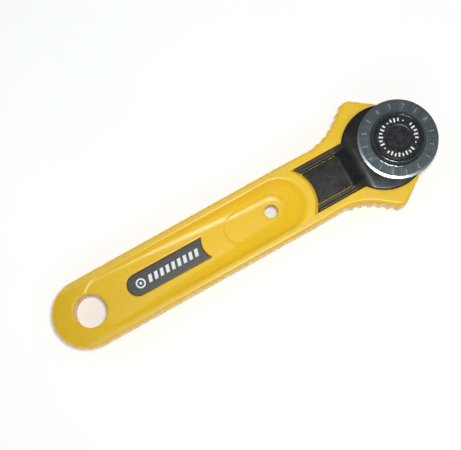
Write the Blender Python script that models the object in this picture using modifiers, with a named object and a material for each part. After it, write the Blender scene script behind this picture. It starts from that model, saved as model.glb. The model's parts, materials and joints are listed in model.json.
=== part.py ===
"""Rotary cutter with a 28 mm wheel blade.

A flat handle carries a sliding blade guard in a channel. The blade turns on a bolt that is held by a
hand nut in the handle's back. Metres, +Z up, +X towards the blade, the back of the handle on Z = 0.
"""

import math

import bmesh
import bpy
from mathutils import Matrix

# Handle: flat bar, round butt at -X, fan-shaped head at +X.
HANDLE_THICK = 0.009
BUTT_RADIUS = 0.01206
BUTT_X = -0.06224
WAIST_X = 0.0213  # the sides draw in a little from here to the neck
NECK_HALF = 0.01185
NECK_X = 0.0319
FAN_RADIUS = 0.0197  # concave sweep from the neck out to the finger guards
FAN_ANGLE = 37.5
FRONT_ANGLE = 36  # slope of the straight front edges
TIP_RADIUS = 0.003
NOSE_RADIUS = 0.01195
EDGE_ROUND = 0.0011

# Blade bolt axis and the stack of pieces on it.
BOLT_X = 0.0603
BLADE_RADIUS = 0.014
BLADE_LOW = 0.01087
BLADE_THICK = 0.0003
BLADE_BEVEL = 0.0009
SHOULDER_RADIUS = 0.00395
KEY_RADIUS = 0.0038
KEY_HALF = 0.0025
THREAD_RADIUS = 0.0025
THREAD_LEAD = 0.0005  # chamfer at the thread's end
BOSS_RADIUS = 0.0032  # the stud's boss, moulded into the head
BOSS_HIGH = 0.0125
STUD_LOW = 0.0007
HEAD_RADIUS = 0.0096
HEAD_SIDE = 0.0091  # radius of the head above its foot
HEAD_LOW = 0.01127
HEAD_HIGH = 0.0139
HEAD_ROLL = 0.0006
HEAD_CHAMFER = 0.0003
FOOT_HIGH = 0.01205  # the foot's top slopes down to its edge
FOOT_FALL = 0.0001
CAP_RADIUS = 0.0078
CAP_LOW = 0.01335
CAP_HIGH = 0.0138

# Holes and recesses of the handle.
HANG_X = -0.06075
HANG_RADIUS = 0.00575
HANG_ROUND = 0.0007
THUMB_X = 0.01015
THUMB_RADIUS = 0.00237
THUMB_ROUND = 0.0003
RECESS_START = -0.053  # centres of the round ends of the recess's rim
RECESS_END = 0.01335
RECESS_HALF = 0.0094
LIP_ROUND = 0.0003  # width of the soft rim, then of the steep lip under it
LIP_WIDTH = 0.0009
LIP_DEPTH = 0.0008
RIM_SHARE = 0.2  # share of the lip's depth that the soft rim takes
WALL_SLOPE = 0.6
WALL_WIDTH = 0.0036
RAMP_START = -0.0607
RAMP_END = -0.0027
RAMP_DEPTH = 0.002
RECESS_DEPTH = 0.00225
DISH_START = -0.0078
DISH_END = 0.0107
DISH_HALF = 0.0058
DISH_DEPTH = 0.0006
DISH_SIDE = 0.0035  # width over which the dish's edge falls to its floor
FLOOR_BLEND = 0.0004
PLATE_START = -0.04625
PLATE_CORNER = -0.01525
PLATE_HALF = 0.004
PLATE_BITE = 0.0064  # radius of the round nib that bites into the plate's end
PLATE_SINK = 0.0009
PLATE_THICK = 0.0006
BACK_DEPTH = 0.0008
BACK_HALF = 0.0078
BACK_START = -0.0447
BACK_END = 0.0153

# Channel and blade guard.
CHANNEL_HALF = 0.0087
CHANNEL_FLOOR = 0.0058
CHANNEL_LIP = 0.0074
UNDERCUT_HALF = 0.0094
UNDERCUT_GAP = 0.0004  # the undercut's end stands this far back from the face end
END_RADIUS = 0.0127  # round end of the handle's face against the channel
GUARD_GAP = 0.00015
GUARD_HALF = 0.0085
FLANGE_HALF = 0.0092
FLANGE_HIGH = 0.0072
FLANGE_STEP = 0.0002  # the flange starts this much behind and below the stem
STEM_END_RADIUS = 0.0136
STEM_FRONT_X = 0.0545
DISC_X = 0.0549
DISC_RADIUS = 0.015
DISC_LOW = 0.00915
DISC_HIGH = 0.01075
DISC_ROUND = 0.0005
SLOPE_X = 0.0393  # foot and top of the slope from the stem up to the disc
SLOPE_TOP_X = 0.0441
SLOPE_LAP = 0.0008  # how far the slope's solid runs down into the stem
SLOT_Y = 0.0061
SLOT_WIDTH = 0.0005
TRAVEL = 0.0055
CATCH_X = 0.0298
CATCH_LENGTH = 0.002
CATCH_HALF = 0.002
CATCH_LOW = 0.0046

# Nut pocket and the pieces in it.
POCKET_RADIUS = 0.0104
POCKET_HIGH = 0.0042
NUT_LOW = 0.0004
NUT_HIGH = 0.0034
NUT_RADIUS = 0.0084
NUT_ROUND = 0.0003
NUT_DISH_RADIUS = 0.0067
NUT_DISH_DEPTH = 0.0006
NUT_FLUTES = 16
FLUTE_DEPTH = 0.0004
INSERT_FLATS = 0.004  # half the distance across the hexagon's flats
INSERT_LOW = 0.0006
INSERT_HIGH = 0.0033
WASHER_INNER = 0.0029
WASHER_OUTER = 0.0062
WASHER_THICK = 0.0003
WASHER_MIDDLE = 0.0038
WASHER_WAVE = 0.00015

RIB_COUNT = 6
RIB_PITCH = 0.0032
RIB_FIRST = 0.0024  # distance of the first rib from the corner of the finger guard
RIB_RADIUS = 0.0010
RIB_PROUD = 0.0006
RIB_LOW = 0.0008
RIB_HIGH = 0.0074

CLEARANCE = 0.00015
FIT = 0.0001
FAR = 0.02  # how far a cutter runs past the faces it opens


# ---------------------------------------------------------------- outlines

def arc(center, radius, start, end, count):
    """Points on a circular arc in degrees, both ends included."""
    angles = [math.radians(start + (end - start) * i / count) for i in range(count + 1)]
    return [(center[0] + radius * math.cos(a), center[1] + radius * math.sin(a)) for a in angles]


def circle(center, radius, count):
    return arc(center, radius, 0, 360, count)[:-1]


def mirrored(half):
    """A closed outline from its upper half, which runs from one end of the X axis to the other."""
    lower = [(x, -y) for x, y in reversed(half) if y > 1e-7]
    return half + lower


def stadium(x0, x1, radius, count):
    """Two half circles about (x0, 0) and (x1, 0), joined by straight sides."""
    return arc((x0, 0), radius, 90, 270, count) + arc((x1, 0), radius, -90, 90, count)


def flatted(radius, half, count=10):
    """A circle about the bolt axis with two flats at +Y and -Y."""
    angle = math.degrees(math.asin(half / radius))
    center = (BOLT_X, 0)
    right = arc(center, radius, -angle, angle, count)
    left = arc(center, radius, 180 - angle, 180 + angle, count)
    return right + left


def fan_corner():
    """Where the ribbed edge and the front edge of a finger guard would meet before rounding."""
    rise = math.tan(math.radians(FAN_ANGLE))
    fall = math.tan(math.radians(FRONT_ANGLE))
    sweep = math.radians(FAN_ANGLE)
    start = (NECK_X + FAN_RADIUS * math.sin(sweep), NECK_HALF + FAN_RADIUS * (1 - math.cos(sweep)))
    front = NOSE_RADIUS / math.cos(math.radians(FRONT_ANGLE))
    x = (front + fall * BOLT_X + rise * start[0] - start[1]) / (rise + fall)
    return x, start[1] + rise * (x - start[0])


def fan_tip():
    """The rounded tip of a finger guard, from the ribbed edge round to the front edge."""
    corner = fan_corner()
    inside = math.radians((180 - FAN_ANGLE - FRONT_ANGLE) / 2)
    middle = math.radians(-90 + (FAN_ANGLE - FRONT_ANGLE) / 2)
    reach = TIP_RADIUS / math.sin(inside)
    center = (corner[0] + reach * math.cos(middle), corner[1] + reach * math.sin(middle))
    return arc(center, TIP_RADIUS, 90 + FAN_ANGLE, 90 - FRONT_ANGLE, 8)


def handle_outline():
    """The handle seen from above, its upper half mirrored."""
    half = arc((BUTT_X, 0), BUTT_RADIUS, 180, 90, 24)
    half.append((WAIST_X, BUTT_RADIUS))
    half += arc((NECK_X, NECK_HALF + FAN_RADIUS), FAN_RADIUS, -90, -90 + FAN_ANGLE, 12)
    half += fan_tip()
    half += arc((BOLT_X, 0), NOSE_RADIUS, 90 - FRONT_ANGLE, 0, 14)
    return mirrored(half)


def channel_outline(half, gap):
    """The guard's channel: bitten by the round face end, and round about the bolt at its front."""
    radius = END_RADIUS + gap
    angle = math.degrees(math.asin(half / radius))
    rear = arc((RECESS_END, 0), radius, angle, -angle, 20)
    front = arc((BOLT_X, 0), half, -90, 90, 20)
    return rear + front


def stem_outline(half, end_radius):
    """The guard's stem: a hollow rear end that follows the face end, and a round front."""
    angle = math.degrees(math.asin(half / end_radius))
    rear = arc((RECESS_END, 0), end_radius, angle, -angle, 16)
    front = arc((STEM_FRONT_X, 0), half, -90, 90, 16)
    return rear + front


def name_plate_outline(gap):
    """A long plate, round at the butt end and bitten by a round nib at the other."""
    half = PLATE_HALF - gap
    bite = PLATE_BITE + gap
    nib_x = PLATE_CORNER + math.sqrt(PLATE_BITE**2 - PLATE_HALF**2)
    angle = math.degrees(math.asin(half / bite))
    left = arc((PLATE_START + PLATE_HALF, 0), half, 90, 270, 16)
    right = arc((nib_x, 0), bite, 180 + angle, 180 - angle, 10)
    return left + right


def fluted_outline():
    """The hand nut's edge, a circle with shallow flutes."""
    count = NUT_FLUTES * 8
    points = []
    for i in range(count):
        angle = 2 * math.pi * i / count
        radius = NUT_RADIUS - FLUTE_DEPTH * (1 - abs(math.cos(NUT_FLUTES * angle / 2)))
        points.append((BOLT_X + radius * math.cos(angle), radius * math.sin(angle)))
    return points


def hexagon(flats):
    return circle((BOLT_X, 0), flats / math.cos(math.pi / 6), 6)


# ---------------------------------------------------------------- solids

def collection_named(name):
    found = bpy.data.collections.new(name)
    bpy.context.scene.collection.children.link(found)
    return found


def clear_scene():
    for item in list(bpy.data.objects):
        bpy.data.objects.remove(item)


def plate(name, outlines, low, high, home):
    """A flat solid between two heights, filled between its outlines."""
    curve = bpy.data.curves.new(name, "CURVE")
    curve.dimensions = "2D"
    curve.fill_mode = "BOTH"
    curve.extrude = (high - low) / 2
    for outline in outlines:
        spline = curve.splines.new("POLY")
        spline.points.add(len(outline) - 1)
        for point, (x, y) in zip(spline.points, outline):
            point.co = (x, y, 0, 1)
        spline.use_cyclic_u = True
    flat = bpy.data.objects.new(name + "_outline", curve)
    flat.location.z = (low + high) / 2
    home.objects.link(flat)
    bpy.context.view_layer.update()
    graph = bpy.context.evaluated_depsgraph_get()
    mesh = bpy.data.meshes.new_from_object(flat.evaluated_get(graph))
    mesh.transform(flat.matrix_world)
    bpy.data.objects.remove(flat)
    return solid(name, mesh, home)


def solid(name, mesh, home):
    """An object from a mesh whose loose caps are welded and whose faces point out."""
    shape = bmesh.new()
    shape.from_mesh(mesh)
    bmesh.ops.remove_doubles(shape, verts=shape.verts, dist=1e-7)
    bmesh.ops.recalc_face_normals(shape, faces=shape.faces)
    shape.to_mesh(mesh)
    shape.free()
    made = bpy.data.objects.new(name, mesh)
    home.objects.link(made)
    return made


def turned(name, profile, home, steps=64, center_x=BOLT_X):
    """A solid of revolution about a vertical axis; the profile of (radius, z) starts at the top."""
    mesh = bpy.data.meshes.new(name)
    closed = profile[0][0] > 0
    edges = [(i, i + 1) for i in range(len(profile) - 1)]
    if closed:
        edges.append((len(profile) - 1, 0))
    mesh.from_pydata([(r, 0, z) for r, z in profile], edges, [])
    made = bpy.data.objects.new(name, mesh)
    made.location.x = center_x
    home.objects.link(made)
    screw = made.modifiers.new("turn", "SCREW")
    screw.steps = steps
    screw.render_steps = steps
    screw.use_merge_vertices = True
    screw.merge_threshold = 1e-6
    return made


def rounded_edges(made, width, segments=3):
    """One face for each flat cap, then a Bevel on the sharp edges only, so that arcs keep their facets."""
    shape = bmesh.new()
    shape.from_mesh(made.data)
    bmesh.ops.dissolve_limit(shape, angle_limit=0.001, verts=shape.verts, edges=shape.edges)
    shape.to_mesh(made.data)
    shape.free()
    bevel = made.modifiers.new("edge", "BEVEL")
    bevel.width = width
    bevel.segments = segments
    bevel.limit_method = "ANGLE"
    bevel.angle_limit = math.radians(60)
    bevel.use_clamp_overlap = False


def boolean(target, other, operation="DIFFERENCE"):
    step = target.modifiers.new(other.name, "BOOLEAN")
    step.operation = operation
    step.object = other


def helper(made):
    """Marks a cutter or a joined shape, which isn't a part of its own."""
    made.hide_render = True
    made.display_type = "WIRE"
    return made


def material(name, color, roughness, metallic=0.0):
    made = bpy.data.materials.new(name)
    made.use_nodes = True
    shader = made.node_tree.nodes["Principled BSDF"]
    shader.inputs["Base Color"].default_value = (*color, 1)
    shader.inputs["Roughness"].default_value = roughness
    shader.inputs["Metallic"].default_value = metallic
    return made


def finish(made, surface):
    made.data.materials.clear()
    made.data.materials.append(surface)
    made.data.shade_smooth()
    made.data.set_sharp_from_angle(angle=math.radians(35))


def pivot_at(made, x, y, z):
    """Moves an object's origin to its joint's axis and leaves its shape where it is."""
    offset = Matrix.Translation((x, y, z))
    made.data.transform(offset.inverted() @ made.matrix_world)
    made.matrix_world = offset


# ---------------------------------------------------------------- handle

def ramp_floor(x):
    """Depth of the thumb recess along the handle: a straight ramp, then nearly level."""
    if x < RAMP_END:
        return RAMP_DEPTH * (x - RAMP_START) / (RAMP_END - RAMP_START)
    share = min(1.0, (x - RAMP_END) / (DISH_END - RAMP_END))
    return RAMP_DEPTH + (RECESS_DEPTH - RAMP_DEPTH) * share


def wall_depth(inward):
    """Depth of the recess's side at a distance from its rim: soft rim, steep lip, even slope."""
    if inward < LIP_ROUND:
        share = inward / LIP_ROUND
        return RIM_SHARE * LIP_DEPTH * share * share - FIT * (1 - share)
    if inward < LIP_WIDTH:
        share = (inward - LIP_ROUND) / (LIP_WIDTH - LIP_ROUND)
        return LIP_DEPTH * (RIM_SHARE + (1 - RIM_SHARE) * share)
    return LIP_DEPTH + WALL_SLOPE * (inward - LIP_WIDTH)


def soft_min(a, b, blend):
    """The smaller of two values, with the corner between them rounded off."""
    share = max(blend - abs(a - b), 0.0) / blend
    return min(a, b) - share * share * blend / 4


def dish_depth(x, y):
    """Extra depth of the thumb dish, rising softly from its oval edge."""
    spine = min(max(x, DISH_START + DISH_HALF), DISH_END)
    inward = DISH_HALF - math.hypot(x - spine, y)
    share = min(max(inward / DISH_SIDE, 0.0), 1.0)
    return DISH_DEPTH * share * share * (3 - 2 * share)


def recess_depth(x, y, inward):
    """Depth of the whole recess at a place that lies this far inside its rim."""
    floor = ramp_floor(x) + dish_depth(x, y)
    return soft_min(wall_depth(inward), floor, FLOOR_BLEND)


def recess_cutter(home):
    """The space above the thumb recess: rings from its rim to the dish, each point at its own depth."""
    shape = bmesh.new()
    rings = []
    for inward in (0, 0.00025, LIP_ROUND, LIP_WIDTH, 0.0013, 0.0017, 0.0021, 0.0025, 0.0029, 0.0033):
        rings.append(recess_ring(shape, inward))
    for inward in (0, 0.0007, 0.0014, 0.0021, 0.0029, 0.0038, 0.0048):
        rings.append(recess_ring(shape, WALL_WIDTH + inward))
    top = [shape.verts.new((v.co.x, v.co.y, HANDLE_THICK + FAR)) for v in rings[0]]
    rings.insert(0, top)
    for outer, inner in zip(rings, rings[1:]):
        bridge(shape, outer, inner)
    shape.faces.new(top)
    fill_strip(shape, rings[-1])
    bmesh.ops.triangulate(shape, faces=shape.faces)
    mesh = bpy.data.meshes.new("thumb_recess")
    shape.to_mesh(mesh)
    shape.free()
    return solid("thumb_recess", mesh, home)


def recess_ring(shape, inward):
    """One ring of the recess; past the wall the rings follow the dish, whose end is drawn back."""
    share = min(inward / WALL_WIDTH, 1.0)
    radius = RECESS_HALF - inward
    end = RECESS_END + (DISH_END - RECESS_END) * share
    left = arc((RECESS_START, 0), radius, 90, 270, 14)
    right = arc((end, 0), radius, -90, 90, 22)
    count = 24
    step = (end - RECESS_START) / count
    lower = [(RECESS_START + step * i, -radius) for i in range(1, count)]
    upper = [(end - step * i, radius) for i in range(1, count)]
    ring = []
    for x, y in left + lower + right + upper:
        ring.append(shape.verts.new((x, y, HANDLE_THICK - recess_depth(x, y, inward))))
    return ring


def bridge(shape, outer, inner):
    """Quads between two rings with the same number of points."""
    count = len(outer)
    for i in range(count):
        j = (i + 1) % count
        shape.faces.new((outer[i], outer[j], inner[j], inner[i]))


def fill_strip(shape, ring):
    """Closes the innermost ring with quads across it, from the left end to the right."""
    count = len(ring)
    half = count // 2
    quarter = 7
    order = ring[quarter:] + ring[:quarter]
    lower = order[:half + 1]
    upper = [order[0]] + list(reversed(order[half:]))
    for i in range(half):
        corners = [lower[i], lower[i + 1], upper[i + 1], upper[i]]
        kept = [v for k, v in enumerate(corners) if v not in corners[:k]]
        if len(kept) > 2:
            shape.faces.new(kept)


def rib_places():
    """Centres of the ribs, counted back from the corner of the finger guard along its edge."""
    corner = fan_corner()
    sweep = math.radians(FAN_ANGLE)
    end_x = NECK_X + FAN_RADIUS * math.sin(sweep)
    straight = (corner[0] - end_x) / math.cos(sweep)
    inset = RIB_RADIUS - RIB_PROUD
    places = []
    for i in range(RIB_COUNT):
        run = RIB_FIRST + i * RIB_PITCH
        if run < straight:
            x = corner[0] - run * math.cos(sweep)
            y = corner[1] - run * math.sin(sweep)
            turn = sweep
        else:
            turn = sweep - (run - straight) / FAN_RADIUS
            x = NECK_X + FAN_RADIUS * math.sin(turn)
            y = NECK_HALF + FAN_RADIUS * (1 - math.cos(turn))
        places.append((x + inset * math.sin(turn), y - inset * math.cos(turn)))
    return places


def ribs(home):
    """Upright half-round ribs on the outside of both finger guards."""
    shape = bmesh.new()
    height = RIB_HIGH - RIB_LOW
    for x, y in rib_places():
        for side in (1, -1):
            place = Matrix.Translation((x, side * y, (RIB_LOW + RIB_HIGH) / 2))
            bmesh.ops.create_cone(shape, cap_ends=True, segments=16, radius1=RIB_RADIUS,
                                  radius2=RIB_RADIUS, depth=height, matrix=place)
    mesh = bpy.data.meshes.new("finger_ribs")
    shape.to_mesh(mesh)
    shape.free()
    return helper(solid("finger_ribs", mesh, home))


def through_hole(name, x, radius, soft, home, steps):
    """A hole right through the handle, with both rims rounded over."""
    mouth = radius + soft
    top = HANDLE_THICK
    upper = [(mouth - soft * math.sin(math.radians(a)), top - soft * (1 - math.cos(math.radians(a))))
             for a in (0, 30, 60, 90)]
    lower = [(r, HANDLE_THICK - z) for r, z in reversed(upper)]
    profile = [(0, top + FAR), (mouth, top + FAR)] + upper + lower + [(mouth, -FAR), (0, -FAR)]
    return helper(turned(name, profile, home, steps, x))


def name_plate_seat(home):
    """The sunk bed of the name plate, tilted with the recess's ramp."""
    cutter = plate("name_plate_seat", [name_plate_outline(0)], -PLATE_SINK, FAR, home)
    lay_on_ramp(cutter)
    return helper(cutter)


def lay_on_ramp(made):
    """Shears a level plate on to the recess's ramp, so that it keeps its outline seen from above."""
    slope = RAMP_DEPTH / (RAMP_END - RAMP_START)
    for vertex in made.data.vertices:
        drop = slope * (vertex.co.x - RAMP_START)
        vertex.co.z += HANDLE_THICK - drop


def make_handle(home, cutters, surface):
    handle = plate("handle", [handle_outline()], 0, HANDLE_THICK, home)
    rounded_edges(handle, EDGE_ROUND)
    boolean(handle, ribs(cutters), "UNION")
    boolean(handle, helper(recess_cutter(cutters)))
    boolean(handle, name_plate_seat(cutters))
    for cutter in handle_pockets(cutters):
        boolean(handle, cutter)
    finish(handle, surface)
    return handle


def handle_pockets(cutters):
    """Channel, undercut, catch slot, nut pocket, bolt hole, back recess and the two round holes."""
    top = HANDLE_THICK + FAR
    channel = plate("channel", [channel_outline(CHANNEL_HALF, 0)], CHANNEL_FLOOR, top, cutters)
    groove = channel_outline(UNDERCUT_HALF, UNDERCUT_GAP)
    undercut = plate("undercut", [groove], CHANNEL_FLOOR, CHANNEL_LIP, cutters)
    slot_start = CATCH_X - CATCH_LENGTH / 2 - CLEARANCE
    slot_end = CATCH_X + CATCH_LENGTH / 2 + TRAVEL + CLEARANCE
    half = CATCH_HALF + CLEARANCE
    slot = [(slot_start, -half), (slot_end, -half), (slot_end, half), (slot_start, half)]
    catch_slot = plate("catch_slot", [slot], CATCH_LOW - CLEARANCE, top, cutters)
    pocket = plate("nut_pocket", [circle((BOLT_X, 0), POCKET_RADIUS, 64)], -FAR, POCKET_HIGH, cutters)
    key = flatted(KEY_RADIUS + CLEARANCE, KEY_HALF + CLEARANCE)
    bolt_hole = plate("bolt_hole", [key], POCKET_HIGH / 2, top, cutters)
    back = plate("back_recess", [stadium(BACK_START, BACK_END, BACK_HALF, 24)], -FAR, BACK_DEPTH, cutters)
    hanging = through_hole("hanging_hole", HANG_X, HANG_RADIUS, HANG_ROUND, cutters, 64)
    thumb = through_hole("thumb_hole", THUMB_X, THUMB_RADIUS, THUMB_ROUND, cutters, 32)
    flat = [channel, undercut, catch_slot, pocket, bolt_hole, back]
    return [helper(cutter) for cutter in flat] + [hanging, thumb]


def make_name_plate(home, surface):
    plate_low = -PLATE_SINK + CLEARANCE
    made = plate("name_plate", [name_plate_outline(CLEARANCE)], plate_low, plate_low + PLATE_THICK, home)
    lay_on_ramp(made)
    finish(made, surface)
    return made


# ---------------------------------------------------------------- blade guard

def make_guard(home, cutters, surface):
    low = CHANNEL_FLOOR + GUARD_GAP
    stem = stem_outline(GUARD_HALF, STEM_END_RADIUS)
    wide = stem_outline(FLANGE_HALF, STEM_END_RADIUS + FLANGE_STEP)
    guard = plate("blade_guard", [stem], low + FLANGE_STEP, HANDLE_THICK, home)
    flange = plate("guard_flange", [wide], low, FLANGE_HIGH, cutters)
    boolean(guard, helper(flange), "UNION")
    boolean(guard, guard_ramp(cutters), "UNION")
    boolean(guard, guard_disc(cutters), "UNION")
    boolean(guard, guard_catch(cutters), "UNION")
    for side in (1, -1):
        boolean(guard, tongue_slot(side, cutters))
    key_start = BOLT_X - TRAVEL - KEY_RADIUS - CLEARANCE
    key_end = BOLT_X + KEY_RADIUS + CLEARANCE
    half = KEY_HALF + CLEARANCE
    slot = [(key_start, -half), (key_end, -half), (key_end, half), (key_start, half)]
    boolean(guard, helper(plate("bolt_slot", [slot], 0, FAR, cutters)))
    finish(guard, surface)
    return guard


def guard_disc(cutters):
    """The round guard behind the blade, its upper edge rounded."""
    soft = DISC_ROUND
    top = [(DISC_RADIUS - soft + soft * math.sin(math.radians(a)),
            DISC_HIGH - soft * (1 - math.cos(math.radians(a)))) for a in (0, 30, 60, 90)]
    profile = [(0, DISC_HIGH)] + top + [(DISC_RADIUS, DISC_LOW), (0, DISC_LOW)]
    return helper(turned("guard_disc", profile, cutters, 96, DISC_X))


def guard_ramp(cutters):
    """The slope that climbs from the stem up to the disc, drawn from the side."""
    half = GUARD_HALF - FLANGE_STEP
    slope = (DISC_HIGH - HANDLE_THICK) / (SLOPE_TOP_X - SLOPE_X)
    low = HANDLE_THICK - SLOPE_LAP
    high = DISC_HIGH - FIT
    foot = SLOPE_X - (HANDLE_THICK - low) / slope
    crest = SLOPE_X + (high - HANDLE_THICK) / slope
    side = [(foot, low), (crest, high), (DISC_X, high), (DISC_X, low)]
    ramp = plate("guard_ramp", [side], -half, half, cutters)
    ramp.data.transform(Matrix.Rotation(math.radians(90), 4, "X"))
    return helper(ramp)


def guard_catch(cutters):
    """The bump under the tongue that rides in the handle's slot and stops the guard at both ends."""
    ends = (CATCH_X - CATCH_LENGTH / 2, CATCH_X + CATCH_LENGTH / 2)
    bump = [(ends[0], -CATCH_HALF), (ends[1], -CATCH_HALF), (ends[1], CATCH_HALF), (ends[0], CATCH_HALF)]
    return helper(plate("guard_catch", [bump], CATCH_LOW, FLANGE_HIGH, cutters))


def tongue_slot(side, cutters):
    """A narrow slot that frees one side of the springy tongue, round at its inner end."""
    half = SLOT_WIDTH / 2
    outline = arc((SLOPE_X - half, side * SLOT_Y), half, -90, 90, 6)
    outline += [(BUTT_X, side * SLOT_Y + half), (BUTT_X, side * SLOT_Y - half)]
    return helper(plate(f"tongue_slot_{side}", [outline], 0, FAR, cutters))


# ---------------------------------------------------------------- blade and bolt

def make_blade(home, surface):
    top = BLADE_LOW + BLADE_THICK
    middle = BLADE_LOW + BLADE_THICK / 2
    flat = BLADE_RADIUS - BLADE_BEVEL
    bore = SHOULDER_RADIUS + FIT
    profile = [(flat, top), (BLADE_RADIUS, middle), (flat, BLADE_LOW), (bore, BLADE_LOW), (bore, top)]
    blade = turned("blade", profile, home, 128)
    finish(blade, surface)
    return blade


def make_bolt_head(home, cutters, surface):
    """A low round head: rolled rim, bed for the printed disc, sloping foot and a socket for the stud."""
    soft = HEAD_ROLL
    rim = [(HEAD_SIDE - soft + soft * math.sin(math.radians(a)),
            HEAD_HIGH - soft * (1 - math.cos(math.radians(a)))) for a in (0, 18, 36, 54, 72, 90)]
    bed = CAP_LOW - FIT
    seat = CAP_RADIUS + FIT
    profile = [(0, bed), (seat, bed), (seat, HEAD_HIGH - FIT), (seat + FIT, HEAD_HIGH)]
    profile += rim
    foot_edge = FOOT_HIGH - FOOT_FALL
    profile += [(HEAD_SIDE, FOOT_HIGH), (HEAD_RADIUS - FIT, foot_edge), (HEAD_RADIUS, foot_edge - FIT),
                (HEAD_RADIUS, HEAD_LOW + HEAD_CHAMFER), (HEAD_RADIUS - HEAD_CHAMFER, HEAD_LOW), (0, HEAD_LOW)]
    head = turned("bolt_head", profile, home, 96)
    opening = flatted(BOSS_RADIUS + FIT, KEY_HALF + FIT)
    socket = plate("stud_socket", [opening], 0, BOSS_HIGH + FIT, cutters)
    boolean(head, helper(socket))
    finish(head, surface)
    return head


def make_cap_disc(home, surface):
    profile = [(0, CAP_HIGH), (CAP_RADIUS - FIT, CAP_HIGH), (CAP_RADIUS, CAP_HIGH - FIT),
               (CAP_RADIUS, CAP_LOW), (0, CAP_LOW)]
    disc = turned("bolt_cap_disc", profile, home, 96)
    finish(disc, surface)
    return disc


def make_stud(home, cutters, surface):
    """Steel stud: boss in the head, shoulder for the blade, flatted key and thread."""
    shoulder_low = BLADE_LOW - FIT / 2
    shoulder_high = HEAD_LOW - FIT / 2
    key_low = POCKET_HIGH + CLEARANCE
    profile = [(0, BOSS_HIGH), (BOSS_RADIUS, BOSS_HIGH), (BOSS_RADIUS, shoulder_high),
               (SHOULDER_RADIUS, shoulder_high), (SHOULDER_RADIUS, shoulder_low),
               (KEY_RADIUS, shoulder_low), (KEY_RADIUS, key_low), (THREAD_RADIUS, key_low),
               (THREAD_RADIUS, STUD_LOW + THREAD_LEAD), (THREAD_RADIUS - THREAD_LEAD, STUD_LOW),
               (0, STUD_LOW)]
    stud = turned("bolt_stud", profile, home, 48)
    for name, low, high in (("key", key_low / 2, shoulder_low), ("boss", shoulder_high, FAR)):
        for side in (1, -1):
            near = side * KEY_HALF
            away = side * FAR
            flat = [(BOLT_X - FAR, near), (BOLT_X + FAR, near), (BOLT_X + FAR, away), (BOLT_X - FAR, away)]
            boolean(stud, helper(plate(f"{name}_flat_{side}", [flat], low, high, cutters)))
    finish(stud, surface)
    return stud


# ---------------------------------------------------------------- nut and washer

def make_washer(home, surface):
    """A sheet-steel ring pressed into three waves."""
    half = WASHER_THICK / 2
    outline = [circle((BOLT_X, 0), WASHER_OUTER, 72), circle((BOLT_X, 0), WASHER_INNER, 72)]
    washer = plate("spring_washer", outline, WASHER_MIDDLE - half, WASHER_MIDDLE + half, home)
    for vertex in washer.data.vertices:
        angle = math.atan2(vertex.co.y, vertex.co.x - BOLT_X)
        vertex.co.z += WASHER_WAVE * math.sin(3 * angle)
    finish(washer, surface)
    return washer


def make_nut(home, cutters, surface):
    """A fluted hand nut with a shallow dished face and a hexagon bed for its insert."""
    nut = plate("nut", [fluted_outline()], NUT_LOW, NUT_HIGH, home)
    rounded_edges(nut, NUT_ROUND, 2)
    bed = plate("insert_bed", [hexagon(INSERT_FLATS + FIT)], -FAR, FAR, cutters)
    face = circle((BOLT_X, 0), NUT_DISH_RADIUS, 48)
    dish = plate("nut_dish", [face], -FAR, NUT_LOW + NUT_DISH_DEPTH, cutters)
    boolean(nut, helper(dish))
    boolean(nut, helper(bed))
    finish(nut, surface)
    return nut


def make_insert(home, surface):
    outlines = [hexagon(INSERT_FLATS), circle((BOLT_X, 0), THREAD_RADIUS + FIT, 32)]
    insert = plate("nut_insert", outlines, INSERT_LOW, INSERT_HIGH, home)
    finish(insert, surface)
    return insert


# ---------------------------------------------------------------- assembly

def build():
    clear_scene()
    home = collection_named("rotary_cutter")
    cutters = collection_named("cutters")
    yellow = material("yellow_plastic", (0.91, 0.57, 0.04), 0.38)
    black = material("black_plastic", (0.03, 0.03, 0.03), 0.42)
    gloss = material("gloss_black_plastic", (0.02, 0.02, 0.022), 0.15)
    label = material("label_black", (0.045, 0.045, 0.05), 0.5)
    blade_steel = material("blade_steel", (0.55, 0.58, 0.6), 0.22, 1)
    stud_steel = material("stud_steel", (0.6, 0.6, 0.6), 0.35, 1)
    brass = material("insert_brass", (0.75, 0.55, 0.25), 0.35, 1)

    make_handle(home, cutters, yellow)
    make_name_plate(home, label)
    guard = make_guard(home, cutters, black)
    make_blade(home, blade_steel)
    make_bolt_head(home, cutters, gloss)
    make_cap_disc(home, label)
    make_stud(home, cutters, stud_steel)
    washer = make_washer(home, stud_steel)
    nut = make_nut(home, cutters, black)
    insert = make_insert(home, brass)
    for moving in (washer, nut, insert):
        pivot_at(moving, BOLT_X, 0, NUT_LOW)
    pivot_at(guard, BOLT_X, 0, CHANNEL_FLOOR)


build()
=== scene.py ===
"""Looks of the 28 mm rotary cutter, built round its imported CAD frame.

The moulded plastic pieces are drawn as rounded distance fields and turned into fine closed meshes;
the round metal and plastic pieces are turned from profiles. Shape sizes are millimetres in the row
frame (+X towards the blade, +Z up) and are scaled to metres when a mesh is made.
"""

import json
import math

import bmesh
import bpy
import numpy as np
from mathutils import Matrix, Vector


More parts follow.
